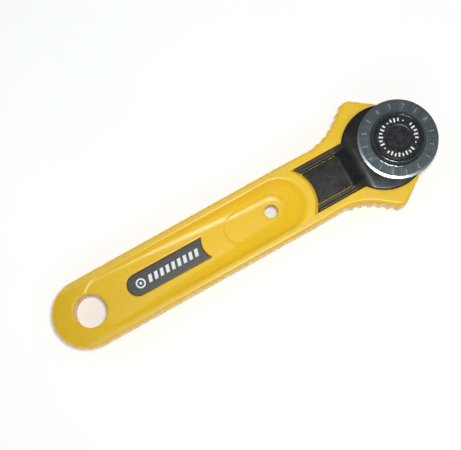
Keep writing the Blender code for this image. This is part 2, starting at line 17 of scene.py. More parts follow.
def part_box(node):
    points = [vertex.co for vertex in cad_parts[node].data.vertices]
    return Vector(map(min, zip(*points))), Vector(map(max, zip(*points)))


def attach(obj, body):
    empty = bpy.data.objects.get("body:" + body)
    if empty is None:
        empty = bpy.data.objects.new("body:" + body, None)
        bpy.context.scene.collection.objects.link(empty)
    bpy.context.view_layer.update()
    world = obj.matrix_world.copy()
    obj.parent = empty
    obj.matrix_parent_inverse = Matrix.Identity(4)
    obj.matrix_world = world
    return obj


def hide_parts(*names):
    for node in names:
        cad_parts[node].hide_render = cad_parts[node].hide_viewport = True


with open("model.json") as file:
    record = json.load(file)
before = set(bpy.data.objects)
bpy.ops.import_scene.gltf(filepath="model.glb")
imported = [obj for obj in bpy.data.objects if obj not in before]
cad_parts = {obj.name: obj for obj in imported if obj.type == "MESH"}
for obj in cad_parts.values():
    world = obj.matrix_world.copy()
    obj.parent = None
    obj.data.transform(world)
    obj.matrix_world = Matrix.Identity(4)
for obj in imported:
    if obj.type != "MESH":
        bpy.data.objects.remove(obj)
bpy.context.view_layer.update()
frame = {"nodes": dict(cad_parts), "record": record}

MM = 0.001


def box_mm(node):
    """The lowest and the highest corner of a CAD node's box, in millimetres."""
    return [[value / MM for value in corner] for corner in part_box(node)]


def heights(node):
    """The lowest and the highest Z of a CAD node, in millimetres."""
    low, high = box_mm(node)
    return low[2], high[2]


# Places read from the frame.
JOINTS = {joint["name"]: joint for joint in frame["record"]["behaviour"]["joints"]}
BOLT_X = JOINTS["blade_spin"]["pos_m"][0] / MM
TRAVEL = JOINTS["guard_slide"]["range_m"][1] / MM
BUTT_X = box_mm("handle")[0][0]
THICK = heights("handle")[1]
GUARD_HIGH = heights("blade_guard")[1]
BLADE_LOW, BLADE_HIGH = heights("blade")
HEAD_LOW, HEAD_HIGH = heights("bolt_head")
HEAD_RADIUS = box_mm("bolt_head")[1][0] - BOLT_X
CAP_LOW, CAP_HIGH = heights("bolt_cap_disc")
NUT_LOW, NUT_HIGH = heights("nut")
INSERT_LOW, INSERT_HIGH = heights("nut_insert")

# Play between pieces.
CLEARANCE, FIT = 0.15, 0.1

# Handle, seen from above.
BUTT_RADIUS = 12.06
BUTT_CENTER = BUTT_X + BUTT_RADIUS
WAIST_X = 21.3
NECK_HALF, NECK_X = 11.85, 31.9
FAN_RADIUS, FAN_ANGLE = 19.7, 37.5  # the sweep from the neck out to the finger guards
FRONT_ANGLE, TIP_RADIUS, NOSE_RADIUS = 36, 3.0, 11.95
OUTLINE_STEP = 0.12  # grid that the outline's distances are read from
EDGE_ROUND = 1.1

# Ribs of the finger guards.
RIB_COUNT, RIB_PITCH, RIB_FIRST, RIB_RADIUS, RIB_PROUD = 6, 3.2, 2.4, 1.0, 0.6
RIB_LOW, RIB_HIGH, RIB_ROUND, RIB_FILLET = 0.8, 7.4, 0.3, 0.2

# Holes.
HANG_X, HANG_RADIUS, HANG_ROUND = -60.75, 5.75, 0.7
THUMB_X, THUMB_RADIUS, THUMB_ROUND = 10.15, 2.37, 0.3

# Thumb recess: a steep lip and an even slope, down to a ramp, a floor and a shallow dish.
RIM_HALF, RIM_START, RIM_END, RIM_ROUND = 9.4, -53.0, 13.35, 0.3
LIP_SLOPE, WALL_SLOPE, WALL_TOP, WALL_WIDTH, LIP_BLEND = 0.95, 0.42, 0.5, 3.6, 0.3
RAMP_START, RAMP_END, RAMP_DEPTH = -60.7, -2.7, 2.0
FLOOR_DEPTH, FLOOR_BLEND, WALL_BLEND = 2.25, 0.5, 0.8
DISH_START, DISH_END, DISH_HALF, DISH_DEPTH, DISH_WALL = -8.0, 10.7, 6.1, 0.16, 0.9
DEPTH_SHARE = 0.8  # brings depths under the sloping walls down to distances

# Back.
BACK_START, BACK_END, BACK_HALF, BACK_DEPTH, BACK_ROUND = -44.7, 15.3, 7.8, 0.8, 0.2
POCKET_RADIUS, POCKET_HIGH, POCKET_ROUND = 10.4, 4.2, 0.25

# Name plate.
PLATE_START, PLATE_CORNER, PLATE_HALF, PLATE_BITE = -46.25, -15.25, 4.0, 6.4
PLATE_SINK, PLATE_THICK, PLATE_GAP, PLATE_ROUND = 0.9, 0.6, 0.15, 0.12
PLATE_LIFT = PLATE_THICK - PLATE_SINK + PLATE_GAP  # the plate's face over the ramp
SEAT_ROUND = 0.1

# Channel in the handle.
CHANNEL_HALF, CHANNEL_FLOOR, CHANNEL_LIP, CHANNEL_ROUND = 8.7, 5.8, 7.4, 0.2
UNDERCUT_HALF, UNDERCUT_GAP = 9.4, 0.4
FACE_END_RADIUS = 12.7  # round end of the handle's face against the channel
OUTSIDE = 9.0  # any value that counts as outside a field

# Blade guard: flanged stem, slope, disc and catch.
GUARD_HALF, STEM_END_RADIUS, STEM_ROUND = 8.5, 13.6, 0.25
FLANGE_HALF, FLANGE_HIGH, FLANGE_STEP, FLANGE_ROUND, FLANGE_FILLET = 9.2, 7.2, 0.2, 0.15, 0.1
GUARD_LOW_FLANGE = CHANNEL_FLOOR + CLEARANCE
SLOPE_X, SLOPE_TOP_X, SLOPE_LAP, SLOPE_ROUND, SLOPE_FILLET = 39.3, 44.1, 0.8, 0.6, 0.25
DISC_X, DISC_RADIUS, DISC_LOW, DISC_ROUND = 54.9, 15.0, 9.15, 0.5
CROWN_RADIUS, CROWN_DROP, CROWN_ROUND = 9.0, 0.16, 0.3
CATCH_X, CATCH_HALF_LENGTH, CATCH_HALF, CATCH_LOW, CATCH_ROUND = 29.8, 1.0, 2.0, 4.6, 0.2
SLOT_Y, SLOT_HALF, SLOT_ROUND = 6.1, 0.25, 0.12  # slots that free the springy tongue
RAIL_Y = SLOT_Y + SLOT_HALF
GROOVE_Y, GROOVE_HALF, GROOVE_DEPTH, GROOVE_ROUND = 7.6, 0.2, 0.3, 0.08  # a groove along each rail
CHEVRON_X, CHEVRON_Y, CHEVRON_HALF, CHEVRON_STROKE = 33.6, -0.7, 1.5, 0.5  # thumb mark on the tongue

# Bolt, blade and nut.
KEY_RADIUS, KEY_HALF = 3.8, 2.5
BLADE_RADIUS, BLADE_BORE, BLADE_BEVEL = 14.0, 4.05, 0.9
HEAD_FOOT, HEAD_STEP, HEAD_ROLL, HEAD_CHAMFER = 0.5, 0.78, 0.55, 0.25
HEAD_LIP, FOOT_ROUND = 0.15, 0.12
CAP_RADIUS, CAP_BAND_IN, CAP_SINK, CAP_ROUND = 7.8, 4.6, 0.06, 0.15
NUT_RADIUS, NUT_FLUTES, FLUTE_DEPTH, NUT_ROUND = 8.4, 16, 0.4, 0.3
NUT_DISH_RADIUS, NUT_DISH_DEPTH, NUT_DISH_ROUND = 6.7, 0.6, 0.2
INSERT_FLATS, INSERT_ROUND, BED_ROUND = 4.0, 0.15, 0.1
THREAD_RADIUS, THREAD_ROUND = 2.5, 0.2

# Marks.
DIAL_STEPS, DIAL_FIRST, DIAL_RADIUS, DIAL_BAR, DIAL_STROKE, FIGURE_HEIGHT = 16, 7, 10.9, 1.8, 0.2, 1.5
CAP_GROUPS = ((62, 3), (115, 6), (206, 8), (330, 5))  # each group's first angle and count of bars
CAP_BAND_LOW, CAP_BAND_HIGH, CAP_BAR_WIDTH, CAP_BAR_STEP, CAP_BAR_CUT = 5.35, 6.8, 0.55, 12.2, 0.35
CAP_DOT_RADIUS, CAP_DOT_BACK = 0.28, 1.3  # a dot stands this many steps before each group
WHEEL_X, WHEEL_RADIUS, WHEEL_RIM, WHEEL_HUB = -41.2, 1.75, 0.55, 0.5
DASH_START, DASH_PITCH, DASH_WIDTH, DASH_HALF, DASH_LEAN, DASH_COUNT = -38.4, 2.25, 1.25, 1.3, 0.7, 9
INK_THICK, LABEL_INK_THICK, CHEVRON_THICK = 0.012, 0.02, 0.12

# Camera and floor.
CAMERA_PLACE = (-0.02609, -0.06622, 0.48559)  # metres
CAMERA_TURN = (8.405, 1.754, -29.142)  # degrees
CAMERA_LENS = 109.33
FLOOR_HALF = 1.5  # metres
FLOOR_GAP = 0.1  # the handle's back stands this far off the floor

# Meshes and finishes.
CELL, FINE_CELL, PLATE_CELL = 0.3, 0.2, 0.15  # edges of the cells that the fields are meshed with
NET_START, NET_END = 1.37, 2.6  # cells past the box, not whole, so that no grid plane lies on a face
PROBE, SETTLE_ROUNDS = 0.02, 3  # step of a gradient, and how often net vertices are moved along it
AXIS_NEAR = 1e-6  # a smaller radius than this lies on the axis
WEAR_WIDTH = 0.4  # how near an edge its wear starts


# ---------------------------------------------------------------- outlines

def arc(center, radius, start, end, count):
    """Points on a circular arc in degrees, both ends included."""
    angles = [math.radians(start + (end - start) * i / count) for i in range(count + 1)]
    return [(center[0] + radius * math.cos(a), center[1] + radius * math.sin(a)) for a in angles]


def fan_corner():
    """Where the ribbed edge and the front edge of a finger guard would meet before rounding."""
    sweep, front = math.radians(FAN_ANGLE), math.radians(FRONT_ANGLE)
    start = (NECK_X + FAN_RADIUS * math.sin(sweep), NECK_HALF + FAN_RADIUS * (1 - math.cos(sweep)))
    rise, fall = math.tan(sweep), math.tan(front)
    x = (NOSE_RADIUS / math.cos(front) + fall * BOLT_X + rise * start[0] - start[1]) / (rise + fall)
    return x, start[1] + rise * (x - start[0])


def handle_outline():
    """The handle seen from above."""
    corner = fan_corner()
    reach = TIP_RADIUS / math.sin(math.radians((180 - FAN_ANGLE - FRONT_ANGLE) / 2))
    middle = math.radians(-90 + (FAN_ANGLE - FRONT_ANGLE) / 2)
    tip = (corner[0] + reach * math.cos(middle), corner[1] + reach * math.sin(middle))
    half = arc((BUTT_CENTER, 0), BUTT_RADIUS, 180, 90, 60)
    half.append((WAIST_X, BUTT_RADIUS))
    half += arc((NECK_X, NECK_HALF + FAN_RADIUS), FAN_RADIUS, -90, -90 + FAN_ANGLE, 24)
    half += arc(tip, TIP_RADIUS, 90 + FAN_ANGLE, 90 - FRONT_ANGLE, 16)
    half += arc((BOLT_X, 0), NOSE_RADIUS, 90 - FRONT_ANGLE, 0, 24)
    return half + [(x, -y) for x, y in reversed(half) if y > 1e-6]


def rib_places():
    """Centres of the upper ribs, counted back from the corner of the finger guard."""
    corner, sweep = fan_corner(), math.radians(FAN_ANGLE)
    straight = (corner[0] - NECK_X - FAN_RADIUS * math.sin(sweep)) / math.cos(sweep)
    inset = RIB_RADIUS - RIB_PROUD
    places = []
    for i in range(RIB_COUNT):
        run = RIB_FIRST + i * RIB_PITCH
        turn = sweep - max(run - straight, 0) / FAN_RADIUS
        if run < straight:
            x, y = corner[0] - run * math.cos(sweep), corner[1] - run * math.sin(sweep)
        else:
            x, y = NECK_X + FAN_RADIUS * math.sin(turn), NECK_HALF + FAN_RADIUS * (1 - math.cos(turn))
        places.append((x + inset * math.sin(turn), y - inset * math.cos(turn)))
    return places


# ---------------------------------------------------------------- distance fields

def outline_distance(points, x, y):
    """Distance from places to a closed outline, negative inside it."""
    best = np.full(np.broadcast(x, y).shape, np.inf)
    inside = np.zeros(best.shape, bool)
    for (ax, ay), (bx, by) in zip(points, points[1:] + points[:1]):
        ex, ey = bx - ax, by - ay
        along = np.clip(((x - ax) * ex + (y - ay) * ey) / (ex * ex + ey * ey), 0, 1)
        best = np.minimum(best, (x - ax - along * ex) ** 2 + (y - ay - along * ey) ** 2)
        if ey:
            inside ^= ((ay > y) != (by > y)) & (x < ax + (y - ay) * ex / ey)
    return np.where(inside, -1, 1) * np.sqrt(best)


def sampled(function, low, high, step):
    """The same function of x and y, read from a fine grid, which is quicker for long outlines."""
    xs, ys = (np.arange(a - 2 * step, b + 3 * step, step) for a, b in zip(low, high))
    values = function(xs[:, None], ys[None, :])

    def read(x, y):
        u = np.clip((x - xs[0]) / step, 0, len(xs) - 1.001)
        v = np.clip((y - ys[0]) / step, 0, len(ys) - 1.001)
        i, j = u.astype(int), v.astype(int)
        u, v = u - i, v - j
        near = values[i, j] * (1 - v) + values[i, j + 1] * v
        far = values[i + 1, j] * (1 - v) + values[i + 1, j + 1] * v
        return near * (1 - u) + far * u

    return read


def common(a, b, soft=0.0):
    """The overlap of two fields, with the edge where they cross rounded off."""
    if not soft:
        return np.maximum(a, b)
    return np.minimum(np.maximum(a, b), -soft) + np.hypot(np.maximum(a + soft, 0), np.maximum(b + soft, 0))


def cut(body, tool, soft=0.0):
    """The first field with the second taken out of it."""
    return common(body, -tool, soft)


def joined(a, b, soft):
    """Both fields together, with a fillet where they meet."""
    return -common(-a, -b, soft)


def soft_least(a, b, blend):
    """The smaller of two values, eased where they cross."""
    share = np.maximum(blend - np.abs(a - b), 0) / blend
    return np.minimum(a, b) - share * share * blend / 4


def band(value, low, high):
    """A slab between two heights."""
    return np.maximum(low - value, value - high)


def stadium(x, y, start, end, half):
    """A bar along X with round ends."""
    return np.hypot(x - np.clip(x, start, end), y) - half


def block(x, y, low, high):
    """A rectangle between two corners."""
    return np.maximum(band(x, low[0], high[0]), band(y, low[1], high[1]))


# ---------------------------------------------------------------- meshes from fields

def net_vertices(values, axes):
    """One vertex in each cell that the surface crosses, and the cells' numbers."""
    inside = values < 0
    corners = [(i, j, k) for i in (0, 1) for j in (0, 1) for k in (0, 1)]
    shape = [n - 1 for n in values.shape]

    def at(array, corner):
        return array[tuple(slice(c, c + n) for c, n in zip(corner, shape))]

    count = sum(at(inside, c).astype(np.int8) for c in corners)
    cells = np.argwhere((count > 0) & (count < 8))
    total, hits = np.zeros((len(cells), 3)), np.zeros(len(cells))
    pairs = [(a, b) for a in corners for b in corners
             if sum(b) == sum(a) + 1 and all(q >= p for p, q in zip(a, b))]
    for a, b in pairs:
        first, second = cells + a, cells + b
        va, vb = values[tuple(first.T)], values[tuple(second.T)]
        crossed = (va < 0) != (vb < 0)
        share = np.where(crossed, va / np.where(crossed, va - vb, 1), 0)[:, None]
        places = np.stack([axis[first[:, d]] for d, axis in enumerate(axes)], 1)
        moved = np.stack([axis[second[:, d]] for d, axis in enumerate(axes)], 1)
        total += np.where(crossed[:, None], places + (moved - places) * share, 0)
        hits += crossed
    numbers = np.full(shape, -1)
    numbers[tuple(cells.T)] = np.arange(len(cells))
    return total / hits[:, None], numbers


def net_faces(values, numbers):
    """A quad for each grid edge that the surface crosses."""
    inside = values < 0
    faces = []
    for axis in range(3):
        one, two = [d for d in range(3) if d != axis]
        step = [0, 0, 0]
        step[axis] = 1
        a = inside[tuple(slice(1, -1) if d != axis else slice(0, -1) for d in range(3))]
        b = inside[tuple(slice(1, -1) if d != axis else slice(1, None) for d in range(3))]
        edges = np.argwhere(a != b)
        leaving = a[tuple(edges.T)]
        base = edges.copy()
        base[:, one] += 1
        base[:, two] += 1
        ring = []
        for p, q in ((0, 0), (1, 0), (1, 1), (0, 1)):
            cell = base.copy()
            cell[:, one] -= p
            cell[:, two] -= q
            ring.append(numbers[tuple(cell.T)])
        quads = np.stack(ring, 1)
        turned = leaving if axis != 1 else ~leaving
        faces.append(np.where(turned[:, None], quads, quads[:, ::-1]))
    return np.concatenate(faces)


def settle(field, points, reach):
    """Moves net vertices on to the surface along the field's gradient."""
    for _ in range(SETTLE_ROUNDS):
        value = field(*points.T)
        slope = np.stack([(field(*(points + PROBE * e).T) - field(*(points - PROBE * e).T)) / (2 * PROBE)
                          for e in np.eye(3)], 1)
        size = np.maximum((slope**2).sum(1), 0.25)
        points = points - np.clip(value / size, -reach, reach)[:, None] * slope
    return points


def field_mesh(name, field, low, high, cell):
    """A closed smooth mesh of the zero surface of a field."""
    axes = [np.arange(a - NET_START * cell, b + NET_END * cell, cell) for a, b in zip(low, high)]
    values = field(axes[0][:, None, None], axes[1][None, :, None], axes[2][None, None, :])
    points, numbers = net_vertices(values, axes)
    faces = net_faces(values, numbers)
    points = settle(field, points, cell / 3)
    mesh = bpy.data.meshes.new(name)
    mesh.from_pydata((points * MM).tolist(), [], faces.tolist())
    mesh.validate()
    return finished(name, mesh)


def closed_mesh(name, shape):
    """A mesh from a bmesh, with its faces turned outwards."""
    bmesh.ops.recalc_face_normals(shape, faces=shape.faces)
    mesh = bpy.data.meshes.new(name)
    shape.to_mesh(mesh)
    shape.free()
    return mesh


def placed(name, data):
    made = bpy.data.objects.new(name, data)
    bpy.context.scene.collection.objects.link(made)
    return made


def finished(name, mesh, sharp=None):
    """An object with smooth shading, and sharp edges over an angle if one is given."""
    mesh.shade_smooth()
    if sharp:
        mesh.set_sharp_from_angle(angle=math.radians(sharp))
    return placed(name, mesh)


def lathe(name, profile, count, sharp):
    """A closed solid turned about the bolt; the profile of (radius, height) runs from the top down."""
    turn = [2 * math.pi * i / count for i in range(count)]
    shape = bmesh.new()
    rings = []
    for radius, height in profile:
        if radius < AXIS_NEAR:
            places = [(BOLT_X, 0)]
        else:
            places = [(BOLT_X + radius * math.cos(a), radius * math.sin(a)) for a in turn]
        rings.append([shape.verts.new((x * MM, y * MM, height * MM)) for x, y in places])
    links = list(zip(rings, rings[1:]))
    if profile[0][0] > AXIS_NEAR:
        links.append((rings[-1], rings[0]))
    for upper, lower in links:
        for i in range(count):
            j = (i + 1) % count
            corners = [upper[i % len(upper)], lower[i % len(lower)]]
            corners += [lower[j % len(lower)], upper[j % len(upper)]]
            kept = [v for k, v in enumerate(corners) if v not in corners[:k]]
            shape.faces.new(kept)
    return finished(name, closed_mesh(name, shape), sharp)


# ---------------------------------------------------------------- handle

def rim_share(x, y):
    """How far in from the recess's rim a place lies: 0 at the rim, 1 where the wall ends.

    Past RIM_END the wall's levels are circles, which draw in and shift from the rim's centre to
    DISH_END; end is the share at which such a circle passes through the place.
    """
    side = (RIM_HALF - np.abs(y)) / WALL_WIDTH
    left = (RIM_HALF - np.hypot(np.minimum(x - RIM_START, 0), y)) / WALL_WIDTH
    drawn, narrowed = DISH_END - RIM_END, -WALL_WIDTH
    u = x - RIM_END
    a = drawn**2 - narrowed**2
    b = -2 * (drawn * u + RIM_HALF * narrowed)
    c = u * u + y * y - RIM_HALF**2
    end = (-b + np.sqrt(np.maximum(b * b - 4 * a * c, 0))) / (2 * a)
    beyond = x > RIM_END + drawn * np.clip(side, 0, 1)
    inner = np.where(beyond, end, np.minimum(side, left))
    deep = (RIM_HALF - np.hypot(np.maximum(x - DISH_END, 0), y)) / WALL_WIDTH
    return np.where(inner < 1, inner, np.maximum(deep, 1))


def ramp_depth(x):
    return RAMP_DEPTH * (x - RAMP_START) / (RAMP_END - RAMP_START)


def ramp_height(x):
    return THICK - ramp_depth(x)


def recess_depth(x, y):
    """Depth of the thumb recess below the handle's face; negative outside its rim."""
    inward = rim_share(x, y) * WALL_WIDTH
    wall = soft_least(LIP_SLOPE * inward, WALL_TOP + WALL_SLOPE * inward, LIP_BLEND)
    level = RAMP_DEPTH + (FLOOR_DEPTH - RAMP_DEPTH) * (x - RAMP_END) / (DISH_END - RAMP_END)
    floor = soft_least(ramp_depth(x), level, FLOOR_BLEND)
    oval = DISH_HALF - np.hypot(x - np.clip(x, DISH_START + DISH_HALF, DISH_END), y)
    share = np.clip(oval / DISH_WALL, 0, 1)
    return soft_least(wall, floor + DISH_DEPTH * share * share * (3 - 2 * share), WALL_BLEND)


def plate_outline(x, y, gap):
    """The name plate seen from above: round at the butt end, bitten by a round nib at the other."""
    bar = stadium(x, y, PLATE_START + PLATE_HALF, PLATE_CORNER + 1, PLATE_HALF - gap)
    nib = PLATE_CORNER + math.sqrt(PLATE_BITE**2 - PLATE_HALF**2)
    return common(bar, PLATE_BITE + gap - np.hypot(x - nib, y))


def flatted(x, y, radius, half):
    """A circle about the bolt with two flats."""
    return np.maximum(np.hypot(x - BOLT_X, y) - radius, np.abs(y) - half)


def channel(x, y, half, gap=0.0):
    """The channel seen from above, which starts at the round end of the handle's face."""
    bite = FACE_END_RADIUS + gap - np.hypot(x - RIM_END, y)
    return np.maximum(stadium(x, y, RIM_END, BOLT_X, half), np.where(x > RIM_END, bite, OUTSIDE))


def handle_field():
    """The handle as one rounded field."""
    outline = handle_outline()
    low, high = (BUTT_X - 1, 0), (BOLT_X + NOSE_RADIUS + 1, box_mm("handle")[1][1] + 1)
    side = sampled(lambda x, y: outline_distance(outline, x, y), low, high, OUTLINE_STEP)
    ribs = rib_places()

    def field(x, y, z):
        ay = np.abs(y)
        body = common(common(side(x, ay), z - THICK, EDGE_ROUND), -z, EDGE_ROUND)
        rib = np.minimum.reduce([np.hypot(x - a, ay - b) for a, b in ribs]) - RIB_RADIUS
        body = joined(body, common(rib, band(z, RIB_LOW, RIB_HIGH), RIB_ROUND), RIB_FILLET)
        body = cut(body, (THICK - recess_depth(x, y) - z) * DEPTH_SHARE, RIM_ROUND)
        seat = np.maximum(plate_outline(x, y, 0), ramp_height(x) - PLATE_SINK - z)
        body = cut(body, seat, SEAT_ROUND)
        body = cut(body, np.maximum(channel(x, y, CHANNEL_HALF), CHANNEL_FLOOR - z), CHANNEL_ROUND)
        undercut = channel(x, y, UNDERCUT_HALF, UNDERCUT_GAP)
        body = cut(body, np.maximum(undercut, band(z, CHANNEL_FLOOR, CHANNEL_LIP)))
        slot = block(x, y, (CATCH_X - CATCH_HALF_LENGTH - CLEARANCE, -CATCH_HALF - CLEARANCE),
                     (CATCH_X + CATCH_HALF_LENGTH + TRAVEL + CLEARANCE, CATCH_HALF + CLEARANCE))
        body = cut(body, np.maximum(slot, CATCH_LOW - CLEARANCE - z))
        pocket = np.maximum(np.hypot(x - BOLT_X, y) - POCKET_RADIUS, z - POCKET_HIGH)
        body = cut(body, pocket, POCKET_ROUND)
        body = cut(body, flatted(x, y, KEY_RADIUS + CLEARANCE, KEY_HALF + CLEARANCE))
        hollow = np.maximum(stadium(x, y, BACK_START, BACK_END, BACK_HALF), z - BACK_DEPTH)
        body = cut(body, hollow, BACK_ROUND)
        body = cut(body, np.hypot(x - HANG_X, y) - HANG_RADIUS, HANG_ROUND)
        return cut(body, np.hypot(x - THUMB_X, y) - THUMB_RADIUS, THUMB_ROUND)

    return field


def make_handle():
    return field_mesh("handle_moulding", handle_field(), *box_mm("handle"), CELL)


# ---------------------------------------------------------------- blade guard

def guard_field(x, y, z):
    """Slider, springy tongue, catch and guard disc as one rounded field."""
    bite = np.hypot(x - RIM_END, y)
    stem = np.maximum(np.abs(y) - GUARD_HALF, np.maximum(STEM_END_RADIUS - bite, x - DISC_X))
    body = common(stem, band(z, GUARD_LOW_FLANGE + FLANGE_STEP, THICK), STEM_ROUND)
    end = np.maximum(STEM_END_RADIUS + FLANGE_STEP - bite, x - DISC_X)
    wide = np.maximum(np.abs(y) - FLANGE_HALF, end)
    flange = common(wide, band(z, GUARD_LOW_FLANGE, FLANGE_HIGH), FLANGE_ROUND)
    body = joined(body, flange, FLANGE_FILLET)
    slope = (GUARD_HIGH - THICK) / (SLOPE_TOP_X - SLOPE_X)
    ramp = (z - THICK - slope * (x - SLOPE_X)) / math.hypot(1, slope)
    out = np.hypot(x - DISC_X, y)
    crown = CROWN_DROP * (np.maximum(out - CROWN_RADIUS, 0) / (DISC_RADIUS - CROWN_RADIUS)) ** 2
    face = z - GUARD_HIGH + crown
    wedge = np.maximum(np.abs(y) - GUARD_HALF + FLANGE_STEP, x - DISC_X)
    wedge = np.maximum(wedge, THICK - SLOPE_LAP - z)
    wedge = common(common(wedge, face, CROWN_ROUND), ramp, SLOPE_ROUND)
    body = joined(body, wedge, SLOPE_FILLET)
    disc = common(common(out - DISC_RADIUS, face, DISC_ROUND), ramp, SLOPE_ROUND)
    body = np.minimum(body, common(disc, DISC_LOW - z, FLANGE_ROUND))
    catch = block(x, y, (CATCH_X - CATCH_HALF_LENGTH, -CATCH_HALF),
                  (CATCH_X + CATCH_HALF_LENGTH, CATCH_HALF))
    body = np.minimum(body, common(catch, band(z, CATCH_LOW, FLANGE_HIGH), CATCH_ROUND))
    slot = np.abs(np.hypot(np.maximum(x - SLOPE_X + SLOT_HALF, 0), np.abs(y) - SLOT_Y)) - SLOT_HALF
    body = cut(body, slot, SLOT_ROUND)
    groove = np.maximum(np.abs(np.abs(y) - GROOVE_Y) - GROOVE_HALF, x - SLOPE_X)
    body = cut(body, np.maximum(groove, THICK - GROOVE_DEPTH - z), GROOVE_ROUND)
    key = block(x, y, (BOLT_X - TRAVEL - KEY_RADIUS - CLEARANCE, -KEY_HALF - CLEARANCE),
                (BOLT_X + KEY_RADIUS + CLEARANCE, KEY_HALF + CLEARANCE))
    return cut(body, key)


def make_guard():
    return field_mesh("guard_slider", guard_field, *box_mm("blade_guard"), FINE_CELL)


# ---------------------------------------------------------------- blade and bolt

def make_blade():
    """The wheel blade: flat faces and a keen edge ground from both sides."""
    middle = (BLADE_LOW + BLADE_HIGH) / 2
    flat = BLADE_RADIUS - BLADE_BEVEL
    profile = [(flat, BLADE_HIGH), (BLADE_RADIUS, middle), (flat, BLADE_LOW), (BLADE_BORE, BLADE_LOW),
               (BLADE_BORE, BLADE_HIGH)]
    return lathe("wheel_blade", profile, 360, sharp=1)


def make_head():
    """The bolt's head: rolled rim, a bed for the printed disc and a sloping flange at the foot."""
    boss = HEAD_RADIUS - HEAD_FOOT
    flange = HEAD_LOW + HEAD_STEP
    seat, bed = CAP_RADIUS + FIT, CAP_LOW - FIT
    profile = [(0, bed), (seat, bed)]
    profile += arc((seat + HEAD_LIP, HEAD_HIGH - HEAD_LIP), HEAD_LIP, 180, 90, 4)
    profile += arc((boss - HEAD_ROLL, HEAD_HIGH - HEAD_ROLL), HEAD_ROLL, 90, 0, 12)
    profile += [(boss + 0.03, flange + 0.1), (boss + 0.08, flange)]
    profile += arc((HEAD_RADIUS - FOOT_ROUND, flange - 0.2), FOOT_ROUND, 80, 0, 5)
    profile += [(HEAD_RADIUS, HEAD_LOW + HEAD_CHAMFER), (HEAD_RADIUS - HEAD_CHAMFER, HEAD_LOW),
                (KEY_RADIUS, HEAD_LOW), (KEY_RADIUS - 0.5, HEAD_LOW + FIT), (0, HEAD_LOW + FIT)]
    return lathe("bolt_head_moulding", profile, 256, sharp=40)


def make_cap():
    """The disc in the head: raised printed band round a sunk middle."""
    sunk = CAP_HIGH - CAP_SINK
    # Each step has a second ring close by, so that the flats between them are shaded flat.
    profile = [(0, sunk), (CAP_BAND_IN - 0.5, sunk), (CAP_BAND_IN - 0.3, sunk),
               (CAP_BAND_IN - 0.05, CAP_HIGH), (CAP_BAND_IN + 0.1, CAP_HIGH), (CAP_RADIUS - 0.3, CAP_HIGH)]
    profile += arc((CAP_RADIUS - CAP_ROUND, CAP_HIGH - CAP_ROUND), CAP_ROUND, 90, 0, 4)
    profile += [(CAP_RADIUS, CAP_LOW), (0, CAP_LOW)]
    return lathe("bolt_cap", profile, 256, sharp=40)


# ---------------------------------------------------------------- nut

def hexagon(x, y, flats):
    """Distance outside a hexagon about the bolt, given half its width across the flats."""
    turns = [math.radians(30 + 60 * k) for k in range(3)]
    return np.maximum.reduce([np.abs((x - BOLT_X) * math.cos(a) + y * math.sin(a)) for a in turns]) - flats


def nut_field(x, y, z):
    """The hand nut: fluted edge, dished face and a hexagon bed for its insert."""
    out = np.hypot(x - BOLT_X, y)
    flutes = FLUTE_DEPTH * (1 - np.abs(np.cos(NUT_FLUTES / 2 * np.arctan2(y, x - BOLT_X))))
    body = common(out - NUT_RADIUS + flutes, band(z, NUT_LOW, NUT_HIGH), NUT_ROUND)
    body = cut(body, np.maximum(out - NUT_DISH_RADIUS, z - NUT_LOW - NUT_DISH_DEPTH), NUT_DISH_ROUND)
    return cut(body, hexagon(x, y, INSERT_FLATS + FIT), BED_ROUND)


def insert_field(x, y, z):
    """The hexagon insert; its thread is a plain bore."""
    body = common(hexagon(x, y, INSERT_FLATS), band(z, INSERT_LOW, INSERT_HIGH), INSERT_ROUND)
    return cut(body, np.hypot(x - BOLT_X, y) - THREAD_RADIUS - FIT, THREAD_ROUND)


def make_nut():
    return field_mesh("hand_nut", nut_field, *box_mm("nut"), FINE_CELL)


def make_insert():
    return field_mesh("brass_insert", insert_field, *box_mm("nut_insert"), FINE_CELL)


# ---------------------------------------------------------------- name plate

def plate_field(x, y, z):
    """The label plate, laid on the recess's ramp."""
    rise = z - ramp_height(x)
    slab = band(rise, PLATE_LIFT - PLATE_THICK, PLATE_LIFT)
    return common(plate_outline(x, y, PLATE_GAP), slab, PLATE_ROUND)


def make_plate():
    return field_mesh("label_plate", plate_field, *box_mm("name_plate"), PLATE_CELL)


# ---------------------------------------------------------------- printed and stamped marks

def outline_of(line, width):
    """The outline of a stroke of even width along a line of points."""
    left, right = [], []
    for i, point in enumerate(line):
        before, after = Vector(line[max(i - 1, 0)]), Vector(line[min(i + 1, len(line) - 1)])
        here = Vector(point)
        ways = [(here - before).normalized(), (after - here).normalized()]
        ways = [w for w in ways if w.length > 0.5]  # at an end of the line only one way is left
        way = (ways[0] + ways[-1]).normalized()
        side = Vector((-way.y, way.x)) * (width / 2 / max(way.dot(ways[0]), 0.5))
        left.append(tuple(here + side))
        right.append(tuple(here - side))
    return left + right[::-1]


def add_mark(shape, outer, surface, thickness, inner=None):
    """A thin closed slab over an outline, or between two outlines, that follows a surface's height."""
    loops = [loop for loop in (outer, inner) if loop]
    levels = []
    for lift in (thickness, -thickness):
        levels.append([[shape.verts.new((x * MM, y * MM, (surface(x, y) + lift) * MM)) for x, y in loop]
                       for loop in loops])
    for top, low in zip(*levels):
        for i in range(len(top)):
            shape.faces.new([top[i - 1], low[i - 1], low[i], top[i]])
    for level in levels:
        if inner:
            for i in range(len(outer)):
                shape.faces.new([level[0][i - 1], level[0][i], level[1][i], level[1][i - 1]])
        else:
            shape.faces.new(level[0])


